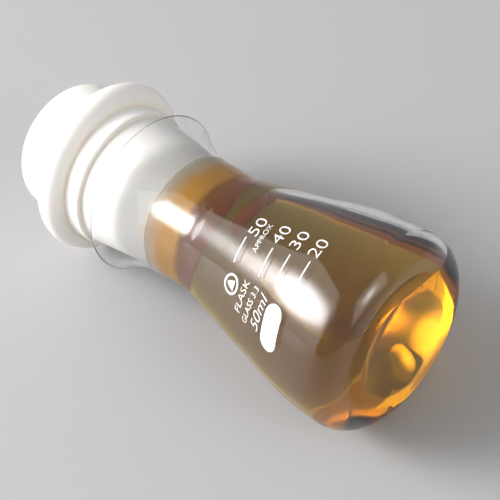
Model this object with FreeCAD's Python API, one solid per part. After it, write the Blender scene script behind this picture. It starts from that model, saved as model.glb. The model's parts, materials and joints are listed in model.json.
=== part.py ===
"""Wide-neck conical flask of 50 ml, closed by a silicone stopper and lying on its side.

Local frame of every revolved piece: +X runs along the flask's axis from the base
plane (s = 0) to the stopper, radius r is measured from that axis.  The finished
pieces are then laid down so that the heel and the stopper's flange touch z = 0.
Angles about the axis are counted from +Y towards +Z, so 90 degrees is the top.
"""
import math
import os

import FreeCAD
import Part

# ---- flask glass (mm) ---------------------------------------------------------
WALL = 1.6                 # wall of the cone, heel and floor
NECK_WALL = 1.1            # wall of the neck and the flare
HEEL_R = 7.4               # outer rounding between base and cone
HEEL_RING_R = 18.5         # radius of the circle the heel rounding starts on
BASE_FLAT_R = 15.0         # inner edge of the flat standing ring
PUSH_UP = 1.6              # height of the pushed-up base at its centre
FLOOR_TOP = 3.9            # inner floor above the base plane at the centre
CONE_R0, CONE_SLOPE = 29.53, 0.2297   # cone outline: r = R0 - SLOPE * s
NECK_R = 16.5              # outer radius of the neck
SHOULDER_R = 10.0          # rounding between cone and neck
FLARE_S = 66.0             # where the neck starts to flare
FLARE_END_S, FLARE_END_R = 82.8, 21.9
BEAD_R = 1.05              # half thickness of the fire-polished rim bead

# ---- stopper (mm) -------------------------------------------------------------
PLUG_S, PLUG_R, PLUG_SLOPE, PLUG_EDGE = 59.0, 14.125, 0.125, 1.4
COLLAR_S, COLLAR_R, COLLAR_EDGE = 90.8, 19.3, 0.5
FLANGE_S, FLANGE_R, FLANGE_EDGE = 99.8, 23.6, 3.9
HEAD_R, HEAD_TOP_S, HEAD_EDGE, HEAD_FOOT_EDGE = 17.9, 117.5, 5.0, 3.0
STOPPER_TRAVEL = 40.0      # how far the stopper is drawn out

# ---- liquid (mm) --------------------------------------------------------------
LIQUID_LEVEL = 39.5        # free surface above the floor the flask lies on
AIR_TIP_S, AIR_TIP_R = 46.5, 3.0   # neck end of the air pocket and its rounding
LIQUID_END_S = 65.9        # how far the liquid reaches up beside the plug
PLUG_GAP = 0.1             # the liquid stops this far short of the plug

# ---- enamel print (mm, degrees) -----------------------------------------------
# every mark: distance from the base plane, angle about the axis, and the skew of its
# baseline against the circle round the flask
PRINT_T = 0.12             # how far the enamel stands proud
PRINT_SINK = 0.04          # how far it is fired into the glass
TURN = -36.0               # turns the print about the axis into its resting place
LINE_W = 0.36
PEN_SHARE = 0.15           # stroke width of a letter, as a share of its height
RING_W = 0.55              # width of the plain ring sign
CUT_DEPTH = 6.0            # reach of the flat cutters that trim the enamel
LINES = ((38.45, 88.1, 6.6), (29.5, 89.6, 7.3), (24.0, 91.3, 7.3), (18.1, 93.7, 7.1))
LINE_SKEW = 5.0
NUMERALS = ((37.8, 106.5, "50"), (30.4, 108.2, "40"), (24.9, 109.8, "30"), (19.05, 110.1, "20"))
NUMERAL_H, NUMERAL_PITCH = 3.2, 2.55
APPROX = (34.5, 101.2, "APPROX", 1.3, 1.38, 6.0)     # ..., height, pitch, skew
CAPACITY = (25.15, 62.9, "50ml", 2.8, 2.5, -4.0)
GLASS_WORD = (28.6, 62.6, "GLASS 3.3", 1.7, 1.08, -7.0)
NAME_WORD = (31.9, 64.0, "FLASK", 2.0, 1.75, -4.0)
MAKER_RING = (36.3, 65.9, 2.55, 0.0)                 # ..., outer radius, skew
PATCH = (20.2, 59.8, 5.4, 11.8, 3.0)                # ..., width, length around, skew

BETA = math.atan(CONE_SLOPE)
BULGE_R = ((CONE_R0 - CONE_SLOPE * HEEL_R) - (HEEL_RING_R + HEEL_R)) / (
    1 / math.cos(BETA) - 1)
NECK_S = (CONE_R0 - NECK_R) / CONE_SLOPE   # where the cone outline would meet the neck

# each glyph: strokes as point lists in a box 0.66 wide and 1 high
GLYPHS = {
    "0": (((.1, .25), (.1, .75), (.25, .95), (.41, .95), (.56, .75), (.56, .25), (.41, .05),
           (.25, .05), (.1, .25)),),
    "2": (((.1, .75), (.25, .95), (.42, .95), (.56, .78), (.56, .62), (.1, .05), (.58, .05)),),
    "3": (((.1, .85), (.25, .95), (.42, .95), (.55, .78), (.42, .54), (.27, .54)),
          ((.42, .54), (.57, .3), (.42, .05), (.25, .05), (.1, .17))),
    "4": (((.44, .02), (.44, .97), (.06, .3), (.62, .3)),),
    "5": (((.54, .94), (.16, .94), (.12, .55), (.4, .6), (.56, .42), (.56, .22), (.4, .05),
           (.22, .05), (.09, .16)),),
    "A": (((.03, .02), (.33, .97), (.63, .02)), ((.14, .33), (.52, .33))),
    "F": (((.1, .02), (.1, .95), (.58, .95)), ((.1, .52), (.5, .52))),
    "G": (((.57, .8), (.42, .95), (.24, .95), (.08, .7), (.08, .3), (.24, .05), (.42, .05),
           (.58, .2), (.58, .47), (.36, .47)),),
    "K": (((.1, .02), (.1, .98)), ((.58, .96), (.12, .45)), ((.24, .56), (.6, .03))),
    "L": (((.1, .98), (.1, .05), (.58, .05)),),
    "O": (((.07, .3), (.07, .7), (.24, .95), (.42, .95), (.59, .7), (.59, .3), (.42, .05),
           (.24, .05), (.07, .3)),),
    "P": (((.1, .02), (.1, .95), (.42, .95), (.56, .8), (.56, .6), (.42, .46), (.1, .46)),),
    "R": (((.1, .02), (.1, .95), (.42, .95), (.56, .8), (.56, .6), (.42, .48), (.1, .48)),
          ((.34, .48), (.58, .03))),
    "S": (((.56, .8), (.42, .95), (.23, .95), (.09, .78), (.16, .58), (.5, .42), (.57, .22),
           (.42, .05), (.23, .05), (.08, .19)),),
    "X": (((.04, .02), (.62, .98)), ((.62, .02), (.04, .98))),
    "m": (((.03, .02), (.03, .62), (.28, .62), (.33, .5), (.33, .02)),
          ((.33, .5), (.38, .62), (.58, .62), (.63, .5), (.63, .02))),
    "l": (((.33, .02), (.33, .98)),),
    ".": (((.28, .09), (.38, .09)),),
}


def vec(s, r):
    return FreeCAD.Vector(s, 0, r)


def line(p, q):
    return Part.LineSegment(vec(*p), vec(*q)).toShape()


def arc(p, m, q):
    return Part.Arc(vec(*p), vec(*m), vec(*q)).toShape()


def arc_about(centre, radius, start, end):
    """Arc by centre, radius and angles (degrees from +s towards +r)."""
    pts = [(centre[0] + radius * math.cos(math.radians(a)),
            centre[1] + radius * math.sin(math.radians(a)))
           for a in (start, (start + end) / 2, end)]
    return arc(*pts), pts[0], pts[2]


def revolve(edges):
    """Full turn of a closed outline about the flask's axis."""
    face = Part.Face(Part.Wire(edges))
    return face.revolve(FreeCAD.Vector(0, 0, 0), FreeCAD.Vector(1, 0, 0), 360)


def wall_curve(offset, neck_r, dome):
    """Outline from the base centre to the start of the flare, offset inwards."""
    beta = math.degrees(BETA)
    dome_s, dome_r, rim_s = dome
    dome_rad = (dome_r ** 2 + (dome_s - rim_s) ** 2) / (2 * (dome_s - rim_s))
    half = dome_r / 2
    edges = [arc((dome_s, 0), (dome_s - dome_rad + math.sqrt(dome_rad ** 2 - half ** 2), half),
                 (rim_s, dome_r))]
    if dome_r < HEEL_RING_R:
        edges.append(line((rim_s, dome_r), (rim_s, HEEL_RING_R)))
    heel, _, heel_end = arc_about((HEEL_R, HEEL_RING_R), HEEL_R - offset, 180, 90)
    bulge, _, bulge_end = arc_about((HEEL_R, HEEL_RING_R + HEEL_R - BULGE_R),
                                    BULGE_R - offset, 90, 90 - beta)
    # rounding between the cone line and the neck line
    cone_r0 = CONE_R0 - offset / math.cos(BETA)
    meet = (cone_r0 - neck_r) / CONE_SLOPE
    back = SHOULDER_R * math.tan(BETA / 2)
    centre = (meet + back, neck_r + SHOULDER_R)
    shoulder, sh_start, sh_end = arc_about(centre, SHOULDER_R, 270 - beta, 270)
    edges += [heel, bulge, line(bulge_end, sh_start), shoulder]
    return edges, sh_end


def outer_r(s):
    """Outer radius of the glass between heel and neck."""
    end = HEEL_R + BULGE_R * math.sin(BETA)
    if s < end:
        return HEEL_RING_R + HEEL_R - BULGE_R + math.sqrt(BULGE_R ** 2 - (s - HEEL_R) ** 2)
    return CONE_R0 - CONE_SLOPE * s


def outer_slope(s):
    return (outer_r(s + 0.01) - outer_r(s - 0.01)) / 0.02


def flask_body():
    outside, out_end = wall_curve(0.0, NECK_R, (PUSH_UP, BASE_FLAT_R, 0.0))
    inside, in_end = wall_curve(WALL, NECK_R - NECK_WALL, (FLOOR_TOP, HEEL_RING_R, WALL))
    half = math.atan2(FLARE_END_R - NECK_R, FLARE_END_S - FLARE_S)
    flare_r = (FLARE_END_S - FLARE_S) / math.sin(2 * half)
    centre = (FLARE_S, NECK_R + flare_r)
    deg = math.degrees(2 * half)
    out_flare, out_a, out_b = arc_about(centre, flare_r, 270, 270 + deg)
    in_flare, in_a, in_b = arc_about(centre, flare_r + NECK_WALL, 270, 270 + deg)
    mid = ((out_b[0] + in_b[0]) / 2, (out_b[1] + in_b[1]) / 2)
    reach = math.sqrt(BEAD_R ** 2 - (NECK_WALL / 2) ** 2) + BEAD_R
    tip = (mid[0] + reach * math.cos(2 * half), mid[1] + reach * math.sin(2 * half))
    edges = outside + [line(out_end, out_a), out_flare, arc(out_b, tip, in_b), in_flare,
                       line(in_a, in_end)] + inside[::-1] + [line((FLOOR_TOP, 0), (PUSH_UP, 0))]
    return revolve(edges), tip


def liquid(place):
    """Everything inside the glass round the plug's end, less the air pocket at the top."""
    inside, in_end = wall_curve(WALL, NECK_R - NECK_WALL, (FLOOR_TOP, HEEL_RING_R, WALL))
    neck_in = NECK_R - NECK_WALL
    edges = inside + [line(in_end, (LIQUID_END_S, neck_in)),
                      line((LIQUID_END_S, neck_in), (LIQUID_END_S, 0)),
                      line((LIQUID_END_S, 0), (FLOOR_TOP, 0))]
    full = revolve(edges)
    full.Placement = place
    tip_x = place.multVec(FreeCAD.Vector(AIR_TIP_S, 0, 0)).x
    low, high, back = LIQUID_LEVEL, LIQUID_LEVEL + 30, tip_x - 90
    k = AIR_TIP_R * math.sqrt(0.5)
    mid = (tip_x - AIR_TIP_R + k, low + AIR_TIP_R - k)
    wire = Part.Wire([line((back, low), (tip_x - AIR_TIP_R, low)),
                      arc((tip_x - AIR_TIP_R, low), mid, (tip_x, low + AIR_TIP_R)),
                      line((tip_x, low + AIR_TIP_R), (tip_x, high)),
                      line((tip_x, high), (back, high)), line((back, high), (back, low))])
    air = Part.Face(wire)
    air.translate(FreeCAD.Vector(0, -40, 0))
    start, end = PLUG_S - PLUG_GAP, LIQUID_END_S + 1
    room = revolve([line((start, 0), (start, PLUG_R + PLUG_GAP)),
                    line((start, PLUG_R + PLUG_GAP),
                         (end, PLUG_R + PLUG_GAP + PLUG_SLOPE * (end - PLUG_S))),
                    line((end, PLUG_R + PLUG_GAP + PLUG_SLOPE * (end - PLUG_S)), (end, 0)),
                    line((end, 0), (start, 0))])
    room.Placement = place
    return full.cut(air.extrude(FreeCAD.Vector(0, 80, 0))).cut(room)


def stopper():
    """One moulded piece: tapered plug, collar, rounded flange and rounded head."""
    plug_top_r = PLUG_R + PLUG_SLOPE * (COLLAR_S - PLUG_S)
    side = (PLUG_S + PLUG_EDGE, PLUG_R + PLUG_SLOPE * PLUG_EDGE)
    k = PLUG_EDGE * (1 - math.sqrt(0.5))
    foot = FLANGE_S - FLANGE_EDGE
    ring = FLANGE_R - FLANGE_EDGE
    top = FLANGE_S + FLANGE_EDGE
    collar, c_a, c_b = arc_about((COLLAR_S + COLLAR_EDGE, COLLAR_R - COLLAR_EDGE), COLLAR_EDGE,
                                 180, 90)
    flange, _, _ = arc_about((FLANGE_S, ring), FLANGE_EDGE, 180, 0)
    head_foot, h_a, h_b = arc_about((top + HEAD_FOOT_EDGE, HEAD_R - HEAD_FOOT_EDGE),
                                    HEAD_FOOT_EDGE, 180, 90)
    head_top, t_a, t_b = arc_about((HEAD_TOP_S - HEAD_EDGE, HEAD_R - HEAD_EDGE), HEAD_EDGE, 90, 0)
    edges = [line((PLUG_S, 0), (PLUG_S, PLUG_R - PLUG_EDGE)),
             arc((PLUG_S, PLUG_R - PLUG_EDGE), (PLUG_S + k, PLUG_R - k + 0.05), side),
             line(side, (COLLAR_S, plug_top_r)), line((COLLAR_S, plug_top_r), c_a), collar,
             line(c_b, (foot, COLLAR_R)), line((foot, COLLAR_R), (foot, ring)), flange,
             line((top, ring), h_a), head_foot, line(h_b, t_a), head_top,
             line(t_b, (HEAD_TOP_S, 0)), line((HEAD_TOP_S, 0), (PLUG_S, 0))]
    return revolve(edges)


def band(s_low, s_high, ang_low, ang_high, steps=1):
    """Thin skin of enamel on the glass between two distances and two angles."""
    pts = [s_low + (s_high - s_low) * i / steps for i in range(steps + 1)]
    low = [(s, outer_r(s) - PRINT_SINK) for s in pts]
    high = [(s, outer_r(s) + PRINT_T) for s in reversed(pts)]
    ring = low + high + low[:1]
    face = Part.Face(Part.Wire([line(ring[i], ring[i + 1]) for i in range(len(ring) - 1)]))
    # the outline stands at 90 degrees (+Z), so it is turned to the band's start first
    origin, axis = FreeCAD.Vector(0, 0, 0), FreeCAD.Vector(1, 0, 0)
    face.rotate(origin, axis, ang_low + TURN - 90)
    return face.revolve(origin, axis, ang_high - ang_low)


def tangent_frame(s, ang, skew=0.0):
    """Placement on the glass: x around the flask, y towards the neck, z outwards, then
    turned about z by the skew."""
    theta = math.radians(ang + TURN)
    slope = math.atan(-outer_slope(s))
    radial = FreeCAD.Vector(0, math.cos(theta), math.sin(theta))
    around = FreeCAD.Vector(0, -math.sin(theta), math.cos(theta))
    along = FreeCAD.Vector(math.cos(slope), 0, 0) - radial * math.sin(slope)
    out = FreeCAD.Vector(math.sin(slope), 0, 0) + radial * math.cos(slope)
    pos = FreeCAD.Vector(s, 0, 0) + radial * outer_r(s)
    rows = FreeCAD.Matrix(around.x, along.x, out.x, pos.x, around.y, along.y, out.y, pos.y,
                          around.z, along.z, out.z, pos.z, 0, 0, 0, 1)
    turn = FreeCAD.Placement(FreeCAD.Vector(0, 0, 0),
                             FreeCAD.Rotation(FreeCAD.Vector(0, 0, 1), skew))
    return FreeCAD.Placement(rows).multiply(turn)


def glyph(char, height, slant=0.0):
    """One raised character as a single flat-topped solid, centred on its own origin."""
    pen = PEN_SHARE * height
    past = 0.4 * pen        # each stroke runs past its ends, so that corners close
    solid = None
    for stroke in GLYPHS[char]:
        pts = [((u - 0.33 + slant * (v - 0.5)) * height, (v - 0.5) * height) for u, v in stroke]
        for (x0, y0), (x1, y1) in zip(pts, pts[1:]):
            length = math.hypot(x1 - x0, y1 - y0)
            rod = Part.makeBox(length + 2 * past, pen, PRINT_T + PRINT_SINK,
                               FreeCAD.Vector(-past, -pen / 2, -PRINT_SINK))
            rod.rotate(FreeCAD.Vector(0, 0, 0), FreeCAD.Vector(0, 0, 1),
                       math.degrees(math.atan2(y1 - y0, x1 - x0)))
            rod.translate(FreeCAD.Vector(x0, y0, 0))
            solid = rod if solid is None else solid.fuse(rod)
    return solid.removeSplitter()


def word(s, ang, text, height, pitch, skew=0.0, slant=0.0):
    """Characters side by side around the flask, read with the neck upwards."""
    out = []
    for i, char in enumerate(text):
        if char == " ":
            continue
        along = (i - (len(text) - 1) / 2) * pitch
        step = math.degrees(along * math.cos(math.radians(skew)) / outer_r(s))
        solid = glyph(char, height, slant)
        solid.Placement = tangent_frame(s + along * math.sin(math.radians(skew)), ang + step, skew)
        out.append(solid)
    return out


def decal(s, ang, width, length, skew, edges):
    """Part of a skin of enamel inside a flat outline that is pushed through the glass."""
    tall = width / 2 + length / 2 * abs(math.sin(math.radians(skew))) + 0.3
    span = math.degrees((length / 2 + 0.6) / outer_r(s))
    skin = band(s - tall, s + tall, ang - span, ang + span, 8)
    prism = Part.Face(Part.Wire(edges)).extrude(FreeCAD.Vector(0, 0, CUT_DEPTH))
    prism.Placement = tangent_frame(s, ang, skew).multiply(
        FreeCAD.Placement(FreeCAD.Vector(0, 0, -CUT_DEPTH * 2 / 3), FreeCAD.Rotation()))
    return skin.common(prism)


def outline(points):
    """Closed outline of straight runs in a mark's own plane."""
    vecs = [FreeCAD.Vector(x, y, 0) for x, y in points]
    return [Part.LineSegment(p, q).toShape() for p, q in zip(vecs, vecs[1:] + vecs[:1])]


def bar(s, ang, width, length, skew):
    """One graduation line."""
    x, y = length / 2, width / 2
    return decal(s, ang, width, length, skew, outline([(-x, -y), (x, -y), (x, y), (-x, y)]))


def patch(s, ang, width, length, skew):
    """White writing field with round ends."""
    half, cap = width / 2, length / 2 - width / 2
    flat = FreeCAD.Vector
    edges = [Part.LineSegment(flat(-cap, -half, 0), flat(cap, -half, 0)),
             Part.Arc(flat(cap, -half, 0), flat(cap + half, 0, 0), flat(cap, half, 0)),
             Part.LineSegment(flat(cap, half, 0), flat(-cap, half, 0)),
             Part.Arc(flat(-cap, half, 0), flat(-cap - half, 0, 0), flat(-cap, -half, 0))]
    return decal(s, ang, width, length, skew, [e.toShape() for e in edges])


def ring_mark(s, ang, radius, skew):
    """Plain ring with a small cone inside, in place of a maker's sign."""
    def disc(r):
        return decal(s, ang, 2 * r, 2 * r, skew, [Part.makeCircle(r)])
    cone = outline([(x * radius, y * radius) for x, y in
                    ((-0.5, -0.42), (0.5, -0.42), (0.14, 0.5), (-0.14, 0.5))])
    return [disc(radius).cut(disc_cutter(s, ang, radius - RING_W, skew)),
            decal(s, ang, radius, radius, skew, cone)]


def disc_cutter(s, ang, radius, skew):
    cutter = Part.makeCylinder(radius, CUT_DEPTH, FreeCAD.Vector(0, 0, -CUT_DEPTH / 2))
    cutter.Placement = tangent_frame(s, ang, skew)
    return cutter


def lying_tilt():
    """Angle (rad) by which the axis dips towards the stopper when heel and flange touch."""
    ring = FLANGE_R - FLANGE_EDGE
    low, high = -0.2, 0.2
    for _ in range(60):
        t = (low + high) / 2
        gap = (HEEL_R - FLANGE_S) * math.sin(t) + (HEEL_RING_R - ring) * math.cos(t) \
            + HEEL_R - FLANGE_EDGE
        low, high = (t, high) if gap > 0 else (low, t)
    return (low + high) / 2


def main():
    os.makedirs("parts", exist_ok=True)
    tilt = lying_tilt()
    height = HEEL_R * math.sin(tilt) + HEEL_RING_R * math.cos(tilt) + HEEL_R
    x_low = HEEL_R * math.cos(tilt) - HEEL_RING_R * math.sin(tilt) - HEEL_R
    x_high = (HEAD_TOP_S - HEAD_EDGE) * math.cos(tilt) + (HEAD_R - HEAD_EDGE) * math.sin(tilt) \
        + HEAD_EDGE
    shift = -(x_low + x_high) / 2
    place = FreeCAD.Placement(FreeCAD.Vector(shift, 0, height),
                              FreeCAD.Rotation(FreeCAD.Vector(0, 1, 0), math.degrees(tilt)))

    glass, rim = flask_body()
    plug = stopper()
    nodes = {
        "flask_body": glass,
        "stopper": plug,
        "graduation_lines": Part.makeCompound(
            [bar(s, a, LINE_W, length, LINE_SKEW) for s, a, length in LINES]),
        "graduation_numerals": Part.makeCompound(
            [g for s, a, t in NUMERALS for g in word(s, a, t, NUMERAL_H, NUMERAL_PITCH)]),
        "approx_mark": Part.makeCompound(word(*APPROX)),
        "capacity_mark": Part.makeCompound(word(*CAPACITY, slant=0.2)),
        "glass_mark": Part.makeCompound(word(*GLASS_WORD)),
        "name_mark": Part.makeCompound(word(*NAME_WORD)),
        "ring_mark": Part.makeCompound(ring_mark(*MAKER_RING)),
        "writing_patch": patch(*PATCH),
    }
    for shape in nodes.values():
        shape.Placement = place.multiply(shape.Placement)
    nodes["liquid"] = liquid(place)

    axis = place.Rotation.multVec(FreeCAD.Vector(1, 0, 0))
    point = place.multVec(FreeCAD.Vector(0, 0, 0))
    print("tilt deg", math.degrees(tilt), "axis", tuple(round(c, 6) for c in axis))
    print("base centre", tuple(round(c, 4) for c in point), "rim tip", rim)
    for name, shape in nodes.items():
        box = shape.BoundBox
        print(name, "valid", shape.isValid(), "solids", len(shape.Solids), "vol",
              round(shape.Volume, 2), "faces", len(shape.Faces),
              [round(v, 2) for v in (box.XMin, box.XMax, box.YMin, box.YMax, box.ZMin, box.ZMax)])
        shape.exportStep("parts/%s.step" % name)


main()
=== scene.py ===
"""Small conical flask of amber liquid, closed by a silicone stopper and lying on its side.

Every revolved piece is drawn as an outline of (distance from the base plane, radius) in
millimetres, turned about the flask's own axis and laid down where the frame says.  Angles
about the axis count from +Y towards +Z, so 90 degrees is the top.
"""
import json
import math
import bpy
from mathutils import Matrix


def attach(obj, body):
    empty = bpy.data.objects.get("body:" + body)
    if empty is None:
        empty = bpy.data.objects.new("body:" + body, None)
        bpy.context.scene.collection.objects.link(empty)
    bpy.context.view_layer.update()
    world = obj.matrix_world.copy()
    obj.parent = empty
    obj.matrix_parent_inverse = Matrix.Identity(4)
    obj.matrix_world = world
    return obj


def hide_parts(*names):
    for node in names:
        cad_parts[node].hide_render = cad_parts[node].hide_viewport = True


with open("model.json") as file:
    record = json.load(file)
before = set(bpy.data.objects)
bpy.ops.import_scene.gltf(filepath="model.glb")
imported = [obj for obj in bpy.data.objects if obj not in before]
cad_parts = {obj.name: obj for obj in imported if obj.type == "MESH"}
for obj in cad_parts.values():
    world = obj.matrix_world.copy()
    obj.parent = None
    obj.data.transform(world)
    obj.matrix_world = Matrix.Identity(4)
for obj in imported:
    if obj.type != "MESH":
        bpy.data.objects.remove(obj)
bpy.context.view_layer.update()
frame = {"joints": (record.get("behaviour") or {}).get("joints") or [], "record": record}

from types import SimpleNamespace

import bmesh
import bpy
from bpy.props import FloatProperty, FloatVectorProperty, IntProperty, PointerProperty
from mathutils import Matrix, Vector, noise

bl_info = {
    "name": "Stoppered conical flask",
    "version": (1, 0, 0),
    "blender": (4, 5, 0),
    "location": "View3D > Sidebar > Flask",
    "description": "Makes a lying conical flask with its liquid, stopper and enamel print",
    "category": "Add Mesh",
}

MM = 0.001
GRIP_S = 61.5              # where the neck grip mount sits, from the base plane
SAME_POINT, WELD = 1e-4, 1e-5   # outline points and mesh points this close (mm) are one

# how finely the glass's outline is drawn
DOME_STEPS, HEEL_STEPS, BULGE_STEPS, CONE_STEPS = 24, 26, 14, 26
SHOULDER_STEPS, NECK_STEPS, FLARE_STEPS, BEAD_STEPS = 8, 5, 24, 22


# ---- where the frame puts the flask ----
def lying_place():
    """Matrix from the outline's frame (millimetres) to the part's frame (metres)."""
    joint = frame["joints"][0]
    grip = [m for m in frame["record"]["mounts"] if m["name"] == "neck_grip"][0]
    along = Vector(joint["axis"]).normalized()
    side = Vector((0, 1, 0))
    up = along.cross(side)
    base = Vector(grip["pos_m"]) - along * GRIP_S * MM
    turn = Matrix((along, side, up)).transposed().to_4x4()
    return Matrix.Translation(base) @ turn @ Matrix.Scale(MM, 4)


LAID = lying_place()
AXIS_DROP = math.asin(-frame["joints"][0]["axis"][2])   # how far the axis dips


# ---- settings ----
def length(name, text, value):
    """A length, given here in millimetres and kept in metres."""
    return FloatProperty(name=name, description=text, default=value * MM, min=0.0,
                         subtype="DISTANCE", unit="LENGTH", precision=5)


def share(name, text, value, low=0.0):
    """A plain ratio."""
    return FloatProperty(name=name, description=text, default=value, min=low, precision=4)


def in_degrees(name, text, value):
    """An angle, given here in degrees."""
    return FloatProperty(name=name, description=text, default=math.radians(value),
                         subtype="ANGLE", unit="ROTATION")


def colour(name, text, value):
    return FloatVectorProperty(name=name, description=text, default=value, subtype="COLOR",
                               min=0, max=1)


def in_mm(settings):
    """The settings as plain numbers, with every length in millimetres."""
    out = SimpleNamespace()
    for key in settings.__annotations__:
        value = getattr(settings, key)
        is_length = settings.bl_rna.properties[key].unit == "LENGTH"
        setattr(out, key, value / MM if is_length else value)
    return out


class FlaskGlassSizes(bpy.types.PropertyGroup):
    """Sizes of the blown glass."""
    wall: length("Wall", "Wall of cone, heel and floor", 1.6)
    neck_wall: length("Neck wall", "Wall of neck and flare", 1.1)
    heel_radius: length("Heel rounding", "Rounding between base and cone", 7.4)
    heel_ring: length("Heel ring", "Radius the heel rounding starts on", 18.5)
    flat_ring: length("Flat ring", "Inner edge of the flat standing ring", 15.0)
    push_up: length("Push-up", "Height of the pushed-up base", 1.6)
    floor_top: length("Floor", "Inner floor above the base plane", 3.9)
    cone_radius: length("Cone radius", "Radius of the cone's line at the base plane", 29.53)
    cone_slope: share("Cone slope", "Loss of radius for each mm towards the neck", 0.2297)
    neck_radius: length("Neck radius", "Outer radius of the neck", 16.5)
    shoulder: length("Shoulder", "Rounding between cone and neck", 10.0)
    flare_start: length("Flare start", "Where the neck starts to flare", 66.0)
    flare_end: length("Flare end", "Where the flare meets the bead", 82.8)
    flare_radius: length("Flare radius", "Outer radius at the end of the flare", 21.9)
    bead: length("Bead", "Half thickness of the fire-polished rim", 1.05)
    ripple: length("Ripple", "Unevenness of the blown inner wall", 0.05)
    facets: IntProperty(name="Facets", description="Faces around the glass", default=256, min=32)


class FlaskLiquidSizes(bpy.types.PropertyGroup):
    """The liquid and the air pocket above it."""
    level: length("Level", "Height of the free surface above the floor", 39.5)
    tip: length("Air tip", "Neck end of the air pocket, from the base plane", 46.5)
    tip_corner: length("Tip corner", "Plan rounding of the pocket's neck end", 7.0)
    tip_round: length("Tip rounding", "How the surface curls up at the neck end", 3.0)
    side_round: length("Side rounding", "How the surface curls up along the glass", 0.7)
    wetting: length("Wetting", "Overlap into the glass, so that no gap shows", 0.12)
    film_end: length("Film end", "How far liquid creeps between plug and neck", 69.6)


class FlaskStopperSizes(bpy.types.PropertyGroup):
    """Sizes of the moulded stopper."""
    plug_start: length("Plug end", "Inner end of the plug, from the base plane", 59.0)
    plug_radius: length("Plug radius", "Radius of the plug's end", 14.125)
    plug_slope: share("Plug slope", "Growth of radius for each mm outwards", 0.125)
    plug_edge: length("Plug edge", "Rounding of the plug's end", 1.4)
    collar_start: length("Collar", "Where the collar starts", 90.8)
    collar_radius: length("Collar radius", "Radius of the collar", 19.3)
    flange_middle: length("Flange", "Middle of the flange", 99.8)
    flange_radius: length("Flange radius", "Radius of the flange", 23.6)
    flange_edge: length("Flange edge", "Half thickness of the flange", 3.9)
    head_radius: length("Head radius", "Radius of the head", 17.9)
    head_top: length("Head top", "Outer end of the head", 117.5)
    head_edge: length("Head edge", "Rounding of the head's outer end", 5.0)
    facets: IntProperty(name="Facets", description="Faces around the stopper", default=192, min=32)


class FlaskPrintSizes(bpy.types.PropertyGroup):
    """The fired enamel print."""
    thickness: length("Thickness", "How far the enamel stands proud", 0.06)
    sink: length("Sink", "How far it is fired into the glass", 0.03)
    turn: in_degrees("Turn", "Turns the whole print about the axis", -36)
    line_width: length("Line width", "Width of a graduation line", 0.36)
    boldness: share("Boldness", "Extra weight of the letters, as a share of their size",
                    -0.012, -0.05)


class FlaskFinish(bpy.types.PropertyGroup):
    """Colours of the pieces."""
    glass: colour("Glass", "Tint of the glass", (0.995, 0.997, 0.994))
    silicone: colour("Silicone", "Open surface of the stopper", (0.95, 0.94, 0.915))
    # cream tone that the stopper's mottle mixes in at random, and also painted shade where the
    # stopper is shut in
    cream_and_shade: colour("Cream", "Stopper where it is shut in", (0.9, 0.80, 0.58))
    soaked: colour("Soaked", "Stopper where the liquid wets it", (1.0, 0.50, 0.04))
    enamel: colour("Enamel", "Fired print", (0.92, 0.92, 0.91))
    liquid: colour("Liquid", "Colour the liquid lets through", (0.955, 0.81, 0.0))
    density: FloatProperty(name="Density", description="Strength of the liquid's colour, per m",
                           default=100.0, min=0.0)


class FlaskStage(bpy.types.PropertyGroup):
    """Camera, floor and lights."""
    view_point: FloatVectorProperty(name="View point", description="Point the camera looks at",
                                    default=(-0.00981, -0.000334, 0.025), subtype="XYZ",
                                    unit="LENGTH")
    distance: FloatProperty(name="Distance", description="Camera to view point",
                            default=0.372395, min=0.1, subtype="DISTANCE", unit="LENGTH")
    azimuth: in_degrees("Azimuth", "Camera's bearing from -Y towards +X", 225.7077)
    elevation: in_degrees("Elevation", "Camera above the horizon", 44.3346)
    roll: in_degrees("Roll", "Camera's turn about its own view", -3.4447)
    lens: FloatProperty(name="Lens", description="Focal length for a 36 mm wide sensor",
                        default=108.489, min=10, unit="CAMERA")
    power: FloatProperty(name="Power", description="Scales every light", default=1.0, min=0)
    floor_tone: colour("Floor", "Colour of the floor", (0.47, 0.47, 0.47))


# ---- outlines ----
def arc(centre, radius, start, end, steps):
    """Points of an arc, by angles in degrees from the axis direction outwards."""
    out = []
    for i in range(steps + 1):
        a = math.radians(start + (end - start) * i / steps)
        out.append((centre[0] + radius * math.cos(a), centre[1] + radius * math.sin(a)))
    return out


def run(start, end, steps):
    """Points of a straight run."""
    return [(start[0] + (end[0] - start[0]) * i / steps,
             start[1] + (end[1] - start[1]) * i / steps) for i in range(steps + 1)]


def joined(*stretches):
    """Stretches end to end, with each shared point kept once."""
    out = []
    for stretch in stretches:
        for point in stretch:
            if not out or math.dist(point, out[-1]) > SAME_POINT:
                out.append(point)
    return out


def filleted(corners, steps=10):
    """Outline through corners (distance, radius, rounding)."""
    out = []
    for i, (s, r, rounding) in enumerate(corners):
        here = Vector((s, r))
        if rounding == 0 or i in (0, len(corners) - 1):
            out.append((s, r))
            continue
        back = (Vector(corners[i - 1][:2]) - here).normalized()
        ahead = (Vector(corners[i + 1][:2]) - here).normalized()
        half = back.angle(ahead) / 2
        middle = here + (back + ahead).normalized() * (rounding / math.sin(half))
        first = here + back * (rounding / math.tan(half)) - middle
        last = here + ahead * (rounding / math.tan(half)) - middle
        turn = first.angle_signed(last)
        for k in range(steps + 1):
            a = -turn * k / steps
            out.append((middle[0] + first[0] * math.cos(a) - first[1] * math.sin(a),
                        middle[1] + first[0] * math.sin(a) + first[1] * math.cos(a)))
    return joined(out)


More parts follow.
